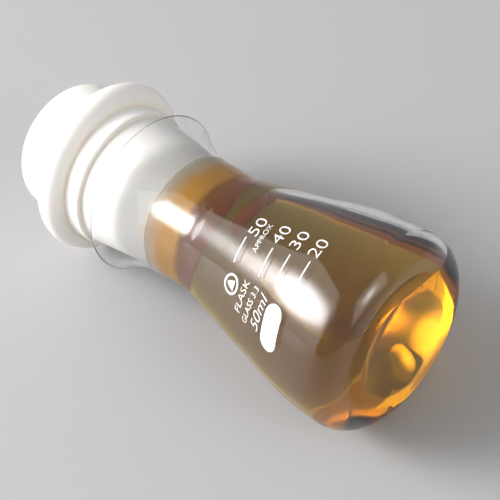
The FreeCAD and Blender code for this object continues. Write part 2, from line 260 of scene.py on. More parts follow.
class Wall:
    """The glass's outline at a given depth below its outer face."""

    def __init__(self, sizes, depth, neck_depth, floor, dome):
        self.g, self.depth, self.neck_depth = sizes, depth, neck_depth
        self.floor, self.dome = floor, dome      # height of the dome's foot, (top, radius)
        self.beta = math.atan(sizes.cone_slope)
        self.bulge = (sizes.cone_radius - sizes.cone_slope * sizes.heel_radius
                      - sizes.heel_ring - sizes.heel_radius) / (1 / math.cos(self.beta) - 1)

    def body(self):
        """From the middle of the base to the start of the flare."""
        g, beta = self.g, math.degrees(self.beta)
        top, rim = self.dome
        dome_radius = (rim ** 2 + (top - self.floor) ** 2) / (2 * (top - self.floor))
        open_angle = math.degrees(math.asin(rim / dome_radius))
        dome = arc((top - dome_radius, 0), dome_radius, 0, open_angle, DOME_STEPS)
        ring = [(self.floor, rim), (self.floor, g.heel_ring)]
        heel = arc((g.heel_radius, g.heel_ring), g.heel_radius - self.depth, 180, 90,
                   HEEL_STEPS)
        bulge = arc((g.heel_radius, g.heel_ring + g.heel_radius - self.bulge),
                    self.bulge - self.depth, 90, 90 - beta, BULGE_STEPS)
        neck = g.neck_radius - self.neck_depth
        meet = (g.cone_radius - self.depth / math.cos(self.beta) - neck) / g.cone_slope
        middle = (meet + g.shoulder * math.tan(self.beta / 2), neck + g.shoulder)
        shoulder = arc(middle, g.shoulder, 270 - beta, 270, SHOULDER_STEPS)
        cone = run(bulge[-1], shoulder[0], CONE_STEPS)
        return joined(dome, ring, heel, bulge, cone, shoulder,
                      run(shoulder[-1], (g.flare_start, neck), NECK_STEPS))

    def flare(self, steps=FLARE_STEPS):
        """From the start of the flare to the bead."""
        g = self.g
        half = math.atan2(g.flare_radius - g.neck_radius, g.flare_end - g.flare_start)
        radius = (g.flare_end - g.flare_start) / math.sin(2 * half)
        middle = (g.flare_start, g.neck_radius + radius)
        return arc(middle, radius + self.neck_depth, 270, 270 + math.degrees(2 * half), steps)

    def radius_at(self, s):
        """Radius of the cone or bulge at a distance from the base plane."""
        g = self.g
        if s < g.heel_radius + self.bulge * math.sin(self.beta):
            reach = (self.bulge - self.depth) ** 2 - (s - g.heel_radius) ** 2
            return g.heel_ring + g.heel_radius - self.bulge + math.sqrt(reach)
        cone = g.cone_radius - self.depth / math.cos(self.beta) - g.cone_slope * s
        return max(cone, g.neck_radius - self.neck_depth)


def outer_wall(g):
    return Wall(g, 0.0, 0.0, 0.0, (g.push_up, g.flat_ring))


def inner_wall(g, wetting=0.0):
    depth = g.wall - wetting
    return Wall(g, depth, g.neck_wall - wetting, depth, (g.floor_top - wetting, g.heel_ring))


# ---- meshes ----
def new_piece(name, bm, sharp=40.0):
    """Closes, orients and lays down a mesh, then makes its object."""
    bmesh.ops.remove_doubles(bm, verts=bm.verts, dist=WELD)
    outward(bm)
    bm.transform(LAID)
    return object_from(name, bm, sharp)


def outward(bm):
    """Turns every face of a closed mesh outwards."""
    bmesh.ops.recalc_face_normals(bm, faces=bm.faces)
    if bm.calc_volume(signed=True) < 0:
        bmesh.ops.reverse_faces(bm, faces=bm.faces)


def object_from(name, bm, sharp=40.0):
    """Smooth mesh object with its real edges kept crisp."""
    for face in bm.faces:
        face.smooth = True
    for edge in bm.edges:
        edge.smooth = edge.is_manifold and edge.calc_face_angle(0) < math.radians(sharp)
    piece = bpy.data.objects.new(name, as_mesh(bm, name))
    bpy.context.scene.collection.objects.link(piece)
    return piece


def as_mesh(bm, name):
    mesh = bpy.data.meshes.new(name)
    bm.to_mesh(mesh)
    bm.free()
    return mesh


def turned(outline, facets, wobble=None):
    """Turns an outline that starts and ends on the axis into a closed mesh."""
    bm = bmesh.new()
    rings = []
    for i, (s, r) in enumerate(outline):
        if r < WELD:
            rings.append([bm.verts.new((s, 0, 0))])
            continue
        ring = []
        for k in range(facets):
            a = 2 * math.pi * k / facets
            out = r + (wobble(i, s, a) if wobble else 0.0)
            ring.append(bm.verts.new((s, out * math.cos(a), out * math.sin(a))))
        rings.append(ring)
    for one, two in zip(rings, rings[1:]):
        for k in range(facets):
            j = (k + 1) % facets
            corners = [one[k % len(one)], one[j % len(one)], two[j % len(two)], two[k % len(two)]]
            bm.faces.new(list(dict.fromkeys(corners)))
    return bm


def finished(piece, body, nodes, material):
    """Gives a piece its finish and tells the frame what it stands for."""
    piece.data.materials.clear()
    piece.data.materials.append(material)
    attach(piece, body)
    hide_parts(*nodes)


# ---- shader groups and materials ----
def group(name, inputs, outputs):
    """Empty shader group with named sockets."""
    tree = bpy.data.node_groups.new(name, "ShaderNodeTree")
    for label, kind, value in inputs:
        socket = tree.interface.new_socket(label, in_out="INPUT", socket_type=kind)
        if value is not None:
            socket.default_value = value
    for label, kind in outputs:
        tree.interface.new_socket(label, in_out="OUTPUT", socket_type=kind)
    return tree, tree.nodes.new("NodeGroupInput"), tree.nodes.new("NodeGroupOutput")


def node(tree, kind, values=(), **settings):
    """Outputs of a new node with its settings; each named socket gets a value or a link."""
    made = tree.nodes.new(kind)
    for key, value in settings.items():
        setattr(made, key, value)
    for key, value in dict(values).items():
        if isinstance(value, bpy.types.NodeSocket):
            tree.links.new(value, made.inputs[key])
        else:
            made.inputs[key].default_value = value
    return made.outputs


def maths(tree, operation, *values, **settings):
    return node(tree, "ShaderNodeMath", enumerate(values), operation=operation, **settings)[0]


RARE_SPECKS = 0.82       # cells whose lot is above this carry a speck
SCRATCH_GAPS = 0.6       # scratches show only where the noise is above this


def dust_group():
    """Specks of dust and fine hairline scratches, as masks."""
    tree, given, put = group(
        "Handling marks",
        [("Vector", "NodeSocketVector", None), ("Speck Scale", "NodeSocketFloat", 700.0),
         ("Speck Size", "NodeSocketFloat", 0.1), ("Scratch Scale", "NodeSocketFloat", 120.0),
         ("Scratch Width", "NodeSocketFloat", 0.01)],
        [("Specks", "NodeSocketFloat"), ("Scratches", "NodeSocketFloat"),
         ("Mask", "NodeSocketFloat")])
    given = given.outputs
    # dust: the middles of a few cells
    cells = node(tree, "ShaderNodeTexVoronoi", {"Randomness": 1.0, "Vector": given["Vector"],
                                                "Scale": given["Speck Scale"]})
    near = maths(tree, "LESS_THAN", cells["Distance"], given["Speck Size"])
    lot = node(tree, "ShaderNodeSeparateColor", {"Color": cells["Color"]})[0]
    specks = maths(tree, "MULTIPLY", near, maths(tree, "GREATER_THAN", lot, RARE_SPECKS))
    # scratches: bent cell borders, broken up
    swirl = node(tree, "ShaderNodeTexNoise", {"Scale": 60.0, "Detail": 3.0,
                                              "Vector": given["Vector"]})
    bent = node(tree, "ShaderNodeVectorMath", {"Scale": 0.004, 0: swirl["Color"]},
                operation="SCALE")
    moved = node(tree, "ShaderNodeVectorMath", {0: given["Vector"], 1: bent[0]},
                 operation="ADD")
    lines = node(tree, "ShaderNodeTexVoronoi", {"Vector": moved[0],
                                                "Scale": given["Scratch Scale"]},
                 feature="DISTANCE_TO_EDGE")
    thin = maths(tree, "LESS_THAN", lines["Distance"], given["Scratch Width"])
    broken = node(tree, "ShaderNodeTexNoise", {"Scale": 220.0, "Detail": 2.0,
                                               "Vector": given["Vector"]})
    gaps = maths(tree, "GREATER_THAN", broken["Fac"], SCRATCH_GAPS)
    scratches = maths(tree, "MULTIPLY", thin, gaps)
    tree.links.new(specks, put.inputs["Specks"])
    tree.links.new(scratches, put.inputs["Scratches"])
    tree.links.new(maths(tree, "MAXIMUM", specks, scratches), put.inputs["Mask"])
    return tree


def mottle_group():
    """Slow change between two colours, with a matching fine grain height."""
    tree, given, put = group(
        "Mottle",
        [("Vector", "NodeSocketVector", None), ("Scale", "NodeSocketFloat", 90.0),
         ("Grain Scale", "NodeSocketFloat", 2500.0), ("First", "NodeSocketColor", (1, 1, 1, 1)),
         ("Second", "NodeSocketColor", (0, 0, 0, 1)), ("Share", "NodeSocketFloat", 0.5)],
        [("Color", "NodeSocketColor"), ("Grain", "NodeSocketFloat")])
    given = given.outputs
    cloud = node(tree, "ShaderNodeTexNoise", {
        "Detail": 4.0, "Roughness": 0.6, "Vector": given["Vector"], "Scale": given["Scale"]})
    amount = maths(tree, "MULTIPLY", cloud["Fac"], given["Share"], use_clamp=True)
    mix = node(tree, "ShaderNodeMix", data_type="RGBA",
               values={"Factor": amount, "A": given["First"], "B": given["Second"]})
    grain = node(tree, "ShaderNodeTexNoise", {"Detail": 2.0, "Vector": given["Vector"],
                                              "Scale": given["Grain Scale"]})
    tree.links.new(mix["Result"], put.inputs["Color"])
    tree.links.new(grain["Fac"], put.inputs["Grain"])
    return tree


def shared(name, build):
    """A node group, made once and then used again."""
    return bpy.data.node_groups.get(name) or build()


def material(name, **values):
    """New material, its tree, its Principled shader and its object coordinates."""
    made = bpy.data.materials.new(name)
    made.use_nodes = True
    tree = made.node_tree
    shader = tree.nodes["Principled BSDF"]
    for key, value in values.items():
        shader.inputs[key.replace("_", " ")].default_value = value
    place = tree.nodes.new("ShaderNodeTexCoord").outputs["Object"]
    return made, tree, shader, place


def group_on(tree, place, name, build, **values):
    """Places a shared shader group in a material and gives its outputs."""
    made = tree.nodes.new("ShaderNodeGroup")
    made.node_tree = shared(name, build)
    tree.links.new(place, made.inputs["Vector"])
    for key, value in values.items():
        made.inputs[key.replace("_", " ")].default_value = value
    return made.outputs


def mottle_on(tree, place, first, second, **values):
    return group_on(tree, place, "Mottle", mottle_group, First=(*first, 1), Second=(*second, 1),
                    **values)


def grain_bump(tree, shader, mottle, strength, depth):
    """Fine relief from the grain of a mottle."""
    bump = node(tree, "ShaderNodeBump", {"Strength": strength, "Distance": depth,
                                         "Height": mottle["Grain"]})
    tree.links.new(bump["Normal"], shader.inputs["Normal"])


def glass_material(finish):
    """Clear blown glass, with a trace of dust and hairline scratches."""
    made, tree, shader, place = material(
        "Clear borosilicate glass", Transmission_Weight=1.0, IOR=1.47, Metallic=0.0,
        Base_Color=(*finish.glass, 1))
    marks = group_on(tree, place, "Handling marks", dust_group, Speck_Scale=420.0,
                     Speck_Size=0.06, Scratch_Scale=95.0, Scratch_Width=0.004)
    rough = node(tree, "ShaderNodeMapRange",
                 {"Value": marks["Mask"], "To Min": 0.0, "To Max": 0.12})
    tree.links.new(rough["Result"], shader.inputs["Roughness"])
    return made


def liquid_material(finish):
    """Clear amber liquid that colours the light on its way through."""
    made, tree, _, _ = material(
        "Amber liquid", Transmission_Weight=1.0, IOR=1.36, Metallic=0.0, Roughness=0.0,
        Base_Color=(1, 1, 1, 1))
    body = node(tree, "ShaderNodeVolumeAbsorption", {"Density": finish.density,
                                                     "Color": (*finish.liquid, 1)})
    tree.links.new(body["Volume"], tree.nodes["Material Output"].inputs["Volume"])
    return made


SOAK_X, SOAK_FADE = 0.009, 0.009   # where the wetted tint of the plug starts to fade (m)
SOAK_WANDER, SOAK_GRAIN = 0.008, 70.0   # how far its edge wanders (m), and how finely


def silicone_material(finish):
    """Matt white moulded silicone, with painted cream shade where it is shut in and tinted where
    it is wetted.
    """
    made, tree, shader, place = material(
        "White silicone", Roughness=0.42, Subsurface_Weight=0.35, Subsurface_Scale=0.004,
        Subsurface_Radius=(1.0, 0.75, 0.5), IOR=1.41)
    mottle = mottle_on(tree, place, finish.silicone, finish.cream_and_shade, Scale=45.0, Share=0.18,
                       Grain_Scale=2600.0)
    # painted shade: ambient occlusion blends the cream colour into the grooves and shut-in corners
    # of the stopper
    hollow_shade = node(tree, "ShaderNodeAmbientOcclusion",
                  {"Distance": 0.004, "Color": mottle["Color"]}, samples=8, only_local=True)
    shut = node(tree, "ShaderNodeMapRange",
                {"Value": hollow_shade["AO"], "From Min": 0.25, "From Max": 0.85})
    dry_shaded = node(tree, "ShaderNodeMix", {"Factor": shut["Result"],
                                       "A": (*finish.cream_and_shade, 1), "B": mottle["Color"]},
               data_type="RGBA")
    along = node(tree, "ShaderNodeSeparateXYZ", {0: place})
    creep = node(tree, "ShaderNodeTexNoise", {"Vector": place, "Scale": SOAK_GRAIN,
                                              "Detail": 1.0})
    edge = maths(tree, "MULTIPLY_ADD", creep["Fac"], SOAK_WANDER, along["X"])
    wet = node(tree, "ShaderNodeMapRange",
               {"Value": edge, "From Min": SOAK_X, "From Max": SOAK_X + SOAK_FADE,
                "To Min": 1.0, "To Max": 0.0}, interpolation_type="SMOOTHSTEP")
    tinted = node(tree, "ShaderNodeMix", {"Factor": wet["Result"], "A": dry_shaded["Result"],
                                          "B": (*finish.soaked, 1)}, data_type="RGBA")
    tree.links.new(tinted["Result"], shader.inputs["Base Color"])
    grain_bump(tree, shader, mottle, strength=0.12, depth=0.0001)
    return made


WORN_ENAMEL = 0.86       # how dark its thin spots are, as a share of its colour


def enamel_material(finish):
    """White fired enamel, slightly uneven and pinholed."""
    made, tree, shader, place = material("White enamel", Roughness=0.38)
    worn = tuple(c * WORN_ENAMEL for c in finish.enamel)
    mottle = mottle_on(tree, place, finish.enamel, worn, Scale=900.0, Share=0.6,
                       Grain_Scale=9000.0)
    tree.links.new(mottle["Color"], shader.inputs["Base Color"])
    grain_bump(tree, shader, mottle, strength=0.25, depth=0.00003)
    return made


# ---- glass ----
def glass_outline(g):
    """Closed outline of the glass and the index where its inside begins."""
    outer, inner = outer_wall(g), inner_wall(g)
    out_flare, in_flare = outer.flare(), inner.flare()
    a, b = Vector(out_flare[-1]), Vector(in_flare[-1])
    ahead = (Vector(out_flare[-1]) - Vector(out_flare[-2])).normalized()
    middle = (a + b) / 2 + ahead * math.sqrt(g.bead ** 2 - ((a - b).length / 2) ** 2)
    start = math.degrees(math.atan2(a[1] - middle[1], a[0] - middle[0]))
    end = math.degrees(math.atan2(b[1] - middle[1], b[0] - middle[0]))
    bead = arc(middle, g.bead, start, end, BEAD_STEPS)
    outside = joined(outer.body(), out_flare, bead)
    inside = joined(in_flare[::-1], inner.body()[::-1])
    return joined(outside, inside), len(outside)


# unevenness of the inner wall: waves per mm along it, waves around it, calm stretch (mm)
RIPPLE_ALONG, RIPPLE_AROUND, RIPPLE_CALM = 0.09, 1.6, 2


class FLASK_OT_glass(bpy.types.Operator):
    """Blows the flask: thick heel, pushed-up base, flared neck and fire-polished rim"""
    bl_idname = "flask.glass"
    bl_label = "Glass"

    def execute(self, context):
        g = in_mm(context.scene.flask_glass)
        outline, first_inside = glass_outline(g)

        def ripple(i, s, a):
            if i < first_inside or s > g.flare_start - RIPPLE_CALM:
                return 0.0
            spot = Vector((s * RIPPLE_ALONG, math.cos(a) * RIPPLE_AROUND,
                           math.sin(a) * RIPPLE_AROUND))
            return g.ripple * noise.noise(spot)

        piece = new_piece("glass_flask", turned(outline, g.facets, ripple))
        finished(piece, "flask", ["flask_body"],
                 glass_material(context.scene.flask_finish))
        return {"FINISHED"}


# ---- liquid ----
AIR_START, AIR_TOP = -6, 60.0     # how far the air cutter reaches past the base and up (mm)
AIR_OVERLAP = 0.25                # how far it reaches into the glass (mm)
TIP_STEPS, ACROSS_STEPS, CURL_STEPS = 24, 6, 9
CURL_FROM, CURL_OVER = 2.2, 1.6   # where the curl starts to grow and for how long, in corners
FILM = 0.05                       # how far the liquid reaches into the plug (mm)
PLUG_STEPS = 10
LIQUID_WELD = 2e-7                # mesh points this close (m) are one after the cut


def air_outline(wall, liquid):
    """Plan outline of the air pocket on one side: (distance, half width)."""
    base_z = LAID.translation.z / MM

    def half_width(s):
        height = (liquid.level - base_z + s * math.sin(AXIS_DROP)) / math.cos(AXIS_DROP)
        return math.sqrt(max(wall.radius_at(s) ** 2 - height ** 2, 1.0)) + AIR_OVERLAP

    corner = liquid.tip_corner
    side = [(s, half_width(s)) for s in range(AIR_START, int(liquid.tip - corner) + 1)]
    s0, w0 = side[-1]
    round_end = []
    for k in range(1, TIP_STEPS + 1):
        a = math.pi / 2 * k / TIP_STEPS
        round_end.append((s0 + (liquid.tip - s0) * math.sin(a),
                          w0 - corner + corner * math.cos(a)))
    across = [(liquid.tip, round_end[-1][1] * (1 - k / ACROSS_STEPS))
              for k in range(1, ACROSS_STEPS)]
    return side + round_end + across


def air_pocket(g, liquid):
    """Closed block whose underside is the free surface, curled up at its edges."""
    wall = inner_wall(g, liquid.wetting)
    one_side = air_outline(wall, liquid)
    plan = one_side + [(liquid.tip, 0.0)] + [(s, -w) for s, w in reversed(one_side)]
    bm = bmesh.new()
    rows = []
    points = [Vector(p) for p in plan]
    count = len(points)
    tip, corner = liquid.tip, liquid.tip_corner
    for j in range(-1, CURL_STEPS + 1):
        row = []
        for i, point in enumerate(points):
            ahead = points[min(i + 1, count - 1)] - points[max(i - 1, 0)]
            inward = Vector((ahead[1], -ahead[0])).normalized()
            if i in (0, count - 1):
                inward = Vector((0, -1 if point[1] > 0 else 1))
            near = min(max((point[0] - (tip - CURL_FROM * corner)) / (CURL_OVER * corner), 0), 1)
            curl = liquid.side_round + (liquid.tip_round - liquid.side_round) * near ** 2
            a = math.pi / 2 * max(j, 0) / CURL_STEPS
            spot = point + inward * curl * (1 - math.cos(a))
            height = AIR_TOP if j < 0 else liquid.level + curl * (1 - math.sin(a))
            row.append(bm.verts.new((spot[0], spot[1], height)))
        rows.append(row)
    for one, two in zip(rows, rows[1:]):
        for i in range(count):
            k = (i + 1) % count
            bm.faces.new((one[i], one[k], two[k], two[i]))
    bm.faces.new(rows[0])
    bm.faces.new(rows[-1])
    outward(bm)
    # the plan is drawn level, so it only slides to where the flask's base is
    bm.transform(Matrix.Translation(Vector((LAID.translation.x, 0, 0))) @ Matrix.Scale(MM, 4))
    return object_from("air_pocket_cutter", bm)


def liquid_outline(g, liquid, stopper):
    """Everything inside the glass, with a film that creeps up beside the plug."""
    wall = inner_wall(g, liquid.wetting)
    flare = [p for p in wall.flare(2 * FLARE_STEPS) if p[0] <= liquid.film_end]
    edge = stopper.plug_edge
    start, radius = stopper.plug_start + FILM, stopper.plug_radius - FILM
    side = (start + edge, radius + stopper.plug_slope * edge)
    end = flare[-1][0]
    plug = [(end, side[1] + stopper.plug_slope * (end - side[0]))]
    plug += arc((side[0], side[1] - edge), edge, 90, 180, PLUG_STEPS)
    return joined(wall.body(), flare, plug, [(start, 0.0)])


class FLASK_OT_liquid(bpy.types.Operator):
    """Fills the flask and leaves a level surface with an air pocket above it"""
    bl_idname = "flask.liquid"
    bl_label = "Liquid"

    def execute(self, context):
        scene = context.scene
        g, liquid = in_mm(scene.flask_glass), in_mm(scene.flask_liquid)
        outline = liquid_outline(g, liquid, in_mm(scene.flask_stopper))
        full = new_piece("full_liquid", turned(outline, g.facets))
        air = air_pocket(g, liquid)
        cut = full.modifiers.new("air", "BOOLEAN")
        cut.operation, cut.solver, cut.object = "DIFFERENCE", "EXACT", air
        mesh = plain_mesh(full, "amber_liquid")
        bm = bmesh.new()
        bm.from_mesh(mesh)
        bmesh.ops.remove_doubles(bm, verts=bm.verts, dist=LIQUID_WELD)
        piece = object_from("amber_liquid", bm, sharp=35.0)
        for old in (full, air):
            bpy.data.objects.remove(old)
        finished(piece, "flask", ["liquid"], liquid_material(scene.flask_finish))
        return {"FINISHED"}


def plain_mesh(obj, name):
    """The object as its modifiers leave it, as a mesh of its own."""
    bpy.context.view_layer.update()
    evaluated = obj.evaluated_get(bpy.context.evaluated_depsgraph_get())
    mesh = bpy.data.meshes.new_from_object(evaluated)
    mesh.name = name
    return mesh


# ---- stopper ----
GROOVE_DEPTH, GROOVE_GAP = 2.7, 0.6    # the slot between flange and head (mm)
LIP_ROUND, COLLAR_ROUND, COLLAR_FOOT, HEAD_ROUND = 0.3, 0.5, 0.25, 2.3    # small roundings (mm)
FULL_ROUND, FULL_SLOT = 0.995, 0.48    # roundings that nearly meet, as a share of the width


def stopper_outline(p):
    """Plug, collar, flange and head, from the inner end to the outer one."""
    foot, top = p.flange_middle - p.flange_edge, p.flange_middle + p.flange_edge
    plug_top = p.plug_radius + p.plug_slope * (p.collar_start - p.plug_start)
    groove, gap = p.head_radius - GROOVE_DEPTH, GROOVE_GAP
    full, slot = p.flange_edge * FULL_ROUND, gap * FULL_SLOT
    corners = [
        (p.plug_start, 0, 0), (p.plug_start, p.plug_radius, p.plug_edge),
        (p.collar_start, plug_top, LIP_ROUND), (p.collar_start, p.collar_radius, COLLAR_ROUND),
        (foot, p.collar_radius, COLLAR_FOOT), (foot, p.flange_radius, full),
        (top, p.flange_radius, full), (top, groove, slot),
        (top + gap, groove, slot), (top + gap, p.head_radius, HEAD_ROUND),
        (p.head_top, p.head_radius, p.head_edge), (p.head_top, 0, 0)]
    return filleted(corners)


class FLASK_OT_stopper(bpy.types.Operator):
    """Moulds the stopper in one piece"""
    bl_idname = "flask.stopper"
    bl_label = "Stopper"

    def execute(self, context):
        p = in_mm(context.scene.flask_stopper)
        piece = new_piece("silicone_stopper", turned(stopper_outline(p), p.facets),
                          sharp=55.0)
        finished(piece, "stopper", ["stopper"],
                 silicone_material(context.scene.flask_finish))
        return {"FINISHED"}


# ---- enamel print ----
# every mark starts with its distance from the base plane (mm) and its angle about the axis
# (degrees); a line adds its length (mm), a numeral its text
LINES = ((38.45, 88.1, 6.6), (29.5, 89.6, 7.3), (24.0, 91.3, 7.3), (18.1, 93.7, 7.1))
LINE_SKEW = 5.0
NUMERALS = ((37.8, 106.5, "50"), (30.4, 108.2, "40"), (24.9, 109.8, "30"), (19.05, 110.1, "20"))
WORDS = {   # piece: (distance, angle, text, height, width, skew, slant)
    "approx_word": (34.5, 101.2, "APPROX", 1.5, 7.7, 6.0, 0.0),
    "capacity_word": (25.15, 62.9, "50ml", 2.8, 9.2, -4.0, 0.25),
    "glass_word": (28.6, 62.6, "GLASS 3.3", 1.7, 9.8, -7.0, 0.0),
    "flask_word": (31.9, 64.0, "FLASK", 2.0, 8.3, -4.0, 0.0),
}
NODE_OF = {"approx_word": "approx_mark", "capacity_word": "capacity_mark",
           "glass_word": "glass_mark", "flask_word": "name_mark"}
NUMERAL_HEIGHT, NUMERAL_WIDTH = 3.2, 4.9
RING = (36.3, 65.9, 2.55, 0.55)         # distance, angle, radius, line width
CONE_FOOT = -0.42                       # the small cone in the ring, as shares of its radius:
CONE = ((-0.5, -0.36), (-0.14, 0.5), (0.14, 0.5), (0.5, -0.36))    # across, height
PATCH = (20.2, 59.8, 5.4, 11.8, 3.0)    # distance, angle, width, length, skew
STRIP_ROWS, CAP_STEPS, RING_STEPS, LETTER_STEPS = 4, 12, 72, 6
THINNEST = 0.02                         # half width at the very end of a round cap (mm)
COARSE, MEDIUM, FINE = 0, 1, 2          # how often a flat mark is split before it is bent


def flat_strip(half_widths):
    """Flat strip along x: a list of (x, lowest y, highest y)."""
    bm = bmesh.new()
    rows = [[bm.verts.new((x, low + (high - low) * k / STRIP_ROWS, 0))
             for k in range(STRIP_ROWS + 1)] for x, low, high in half_widths]
    for one, two in zip(rows, rows[1:]):
        for k in range(STRIP_ROWS):
            bm.faces.new((one[k], two[k], two[k + 1], one[k + 1]))
    bmesh.ops.remove_doubles(bm, verts=bm.verts, dist=SAME_POINT)
    return as_mesh(bm, "flat_strip")


def rounded_strip(width, length_along):
    """Strip with round ends."""
    half, cap = width / 2, length_along / 2 - width / 2
    out = []
    for k in range(CAP_STEPS + 1):
        a = math.pi / 2 * (1 - k / CAP_STEPS)
        w = max(half * math.cos(a), THINNEST)
        out.append((-cap - half * math.sin(a), -w, w))
    far_end = [(-x, -w, w) for x, _, w in reversed(out)]
    for k in range(1, CAP_STEPS):
        out.append((-cap + 2 * cap * k / CAP_STEPS, -half, half))
    return flat_strip(out + far_end)


def flat_ring(radius, width):
    bm = bmesh.new()
    rows = []
    for k in range(RING_STEPS):
        a = 2 * math.pi * k / RING_STEPS
        rows.append([bm.verts.new((r * math.cos(a), r * math.sin(a), 0))
                     for r in (radius - width, radius - width / 2, radius)])
    for k in range(RING_STEPS):
        one, two = rows[k], rows[(k + 1) % RING_STEPS]
        for j in range(2):
            bm.faces.new((one[j], one[j + 1], two[j + 1], two[j]))
    return as_mesh(bm, "flat_ring")


def flat_word(text, height, width, slant, boldness):
    """Letters as a flat mesh, scaled to a height and an overall width."""
    curve = bpy.data.curves.new("letters", "FONT")
    curve.body, curve.size = text, 1.0
    curve.offset, curve.shear = boldness, slant
    curve.resolution_u = LETTER_STEPS
    holder = bpy.data.objects.new("letters", curve)
    bpy.context.scene.collection.objects.link(holder)
    mesh = plain_mesh(holder, "letters")
    bpy.data.objects.remove(holder)
    bpy.data.curves.remove(curve)
    xs = [v.co.x for v in mesh.vertices]
    ys = [v.co.y for v in mesh.vertices]
    centre = Vector(((min(xs) + max(xs)) / 2, (min(ys) + max(ys)) / 2, 0))
    scale = Matrix.Diagonal((width / (max(xs) - min(xs)), height / (max(ys) - min(ys)), 1, 1))
    mesh.transform(scale @ Matrix.Translation(-centre))
    return mesh


def wrap_tree():
    """Geometry nodes that lay a flat mark on the cone and give it its thickness."""
    tree = bpy.data.node_groups.new("Fired on glass", "GeometryNodeTree")
    lengths = ("Distance", "Angle", "Skew", "Thickness", "Sink", "Cone Radius", "Cone Slope",
               "Bulge End", "Bulge Middle", "Bulge Height", "Bulge Radius")
    for label, kind in (("Geometry", "Geometry"), *((label, "Float") for label in lengths),
                        ("Subdivisions", "Int"), ("Material", "Material")):
        tree.interface.new_socket(label, in_out="INPUT", socket_type="NodeSocket" + kind)
    tree.interface.new_socket("Geometry", in_out="OUTPUT", socket_type="NodeSocketGeometry")
    given, put = tree.nodes.new("NodeGroupInput").outputs, tree.nodes.new("NodeGroupOutput")

    def step(kind, values=(), **settings):
        return node(tree, kind, values, **settings)[0]

    def calc(operation, *values):
        return maths(tree, operation, *values)

    def outer_radius(s):
        """Radius of the outer wall at a distance, as nodes."""
        cone = calc("SUBTRACT", given["Cone Radius"],
                     calc("MULTIPLY", given["Cone Slope"], s))
        off = calc("SUBTRACT", s, given["Bulge Middle"])
        square = calc("SUBTRACT",
                       calc("MULTIPLY", given["Bulge Radius"], given["Bulge Radius"]),
                       calc("MULTIPLY", off, off))
        bulge = calc("ADD", given["Bulge Height"], calc("SQRT", square))
        return step("GeometryNodeSwitch", {
            "Switch": calc("LESS_THAN", s, given["Bulge End"]), "False": cone, "True": bulge},
            input_type="FLOAT")

    split = step("GeometryNodeSubdivideMesh", {"Mesh": given["Geometry"],
                                               "Level": given["Subdivisions"]})
    turn = step("ShaderNodeVectorRotate", {"Vector": step("GeometryNodeInputPosition"),
                                           "Angle": given["Skew"]}, rotation_type="Z_AXIS")
    flat = node(tree, "ShaderNodeSeparateXYZ", {0: turn})
    lean = calc("COSINE", calc("ARCTANGENT", given["Cone Slope"]))
    s = calc("ADD", given["Distance"], calc("MULTIPLY", flat["Y"], lean))
    around = calc("DIVIDE", flat["X"], outer_radius(given["Distance"]))
    angle = calc("ADD", given["Angle"], around)
    radius = calc("SUBTRACT", outer_radius(s), given["Sink"])
    spot = step("ShaderNodeCombineXYZ", {
        "X": s, "Y": calc("MULTIPLY", radius, calc("COSINE", angle)),
        "Z": calc("MULTIPLY", radius, calc("SINE", angle))})
    laid = step("GeometryNodeSetPosition", {"Geometry": split, "Position": spot})
    height = calc("ADD", given["Thickness"], given["Sink"])
    raised = step("GeometryNodeExtrudeMesh",
                  {"Individual": False, "Mesh": laid, "Offset Scale": height}, mode="FACES")
    both = tree.nodes.new("GeometryNodeJoinGeometry")
    for part in (raised, step("GeometryNodeFlipFaces", {0: laid})):
        tree.links.new(part, both.inputs[0])
    sewn = step("GeometryNodeMergeByDistance", {"Distance": SAME_POINT,
                                                "Geometry": both.outputs[0]})
    real = step("GeometryNodeRealizeInstances", {0: sewn})
    paint = step("GeometryNodeSetMaterial", {"Geometry": real, "Material": given["Material"]})
    tree.links.new(paint, put.inputs[0])
    return tree


def fired(flat, s, angle, skew, scene, enamel, subdivisions):
    """Lays one flat mark on the glass with the geometry nodes; millimetres, not yet laid down."""
    tree = shared("Fired on glass", wrap_tree)
    g, p = in_mm(scene.flask_glass), in_mm(scene.flask_print)
    wall = outer_wall(g)
    values = {
        "Distance": s, "Angle": math.radians(angle) + p.turn, "Skew": math.radians(skew),
        "Thickness": p.thickness, "Sink": p.sink, "Cone Radius": g.cone_radius,
        "Cone Slope": g.cone_slope,
        "Bulge End": g.heel_radius + wall.bulge * math.sin(wall.beta),
        "Bulge Middle": g.heel_radius,
        "Bulge Height": g.heel_ring + g.heel_radius - wall.bulge,
        "Bulge Radius": wall.bulge, "Subdivisions": subdivisions, "Material": enamel}
    holder = bpy.data.objects.new("flat_mark", flat)
    scene.collection.objects.link(holder)
    wrap = holder.modifiers.new("fired", "NODES")
    wrap.node_group = tree
    for item in tree.interface.items_tree:
        if item.in_out == "INPUT" and item.name in values:
            wrap[item.identifier] = values[item.name]
    mesh = plain_mesh(holder, "fired_mark")
    bpy.data.objects.remove(holder)
    return mesh


def print_piece(name, node_name, meshes, enamel):
    """Joins the marks of one node into one piece."""
    bm = bmesh.new()
    for mesh in meshes:
        bm.from_mesh(mesh)
        bpy.data.meshes.remove(mesh)
    bm.transform(LAID)
    piece = object_from(name, bm, sharp=50.0)
    finished(piece, "flask", [node_name], enamel)


def shared_enamel(scene):
    return bpy.data.materials.get("White enamel") or enamel_material(scene.flask_finish)


class FLASK_OT_scale(bpy.types.Operator):
    """Fires the graduation lines and their numbers on the glass"""
    bl_idname = "flask.scale"
    bl_label = "Graduations"

    def execute(self, context):
        scene, p = context.scene, in_mm(context.scene.flask_print)
        enamel = shared_enamel(scene)
        bars = [fired(rounded_strip(p.line_width, long), s, a, LINE_SKEW, scene, enamel, COARSE)
                for s, a, long in LINES]
        print_piece("graduation_bars", "graduation_lines", bars, enamel)
        numbers = [fired(flat_word(text, NUMERAL_HEIGHT, NUMERAL_WIDTH, 0, p.boldness),
                         s, a, 0, scene, enamel, FINE) for s, a, text in NUMERALS]
        print_piece("graduation_numbers", "graduation_numerals", numbers, enamel)
        return {"FINISHED"}


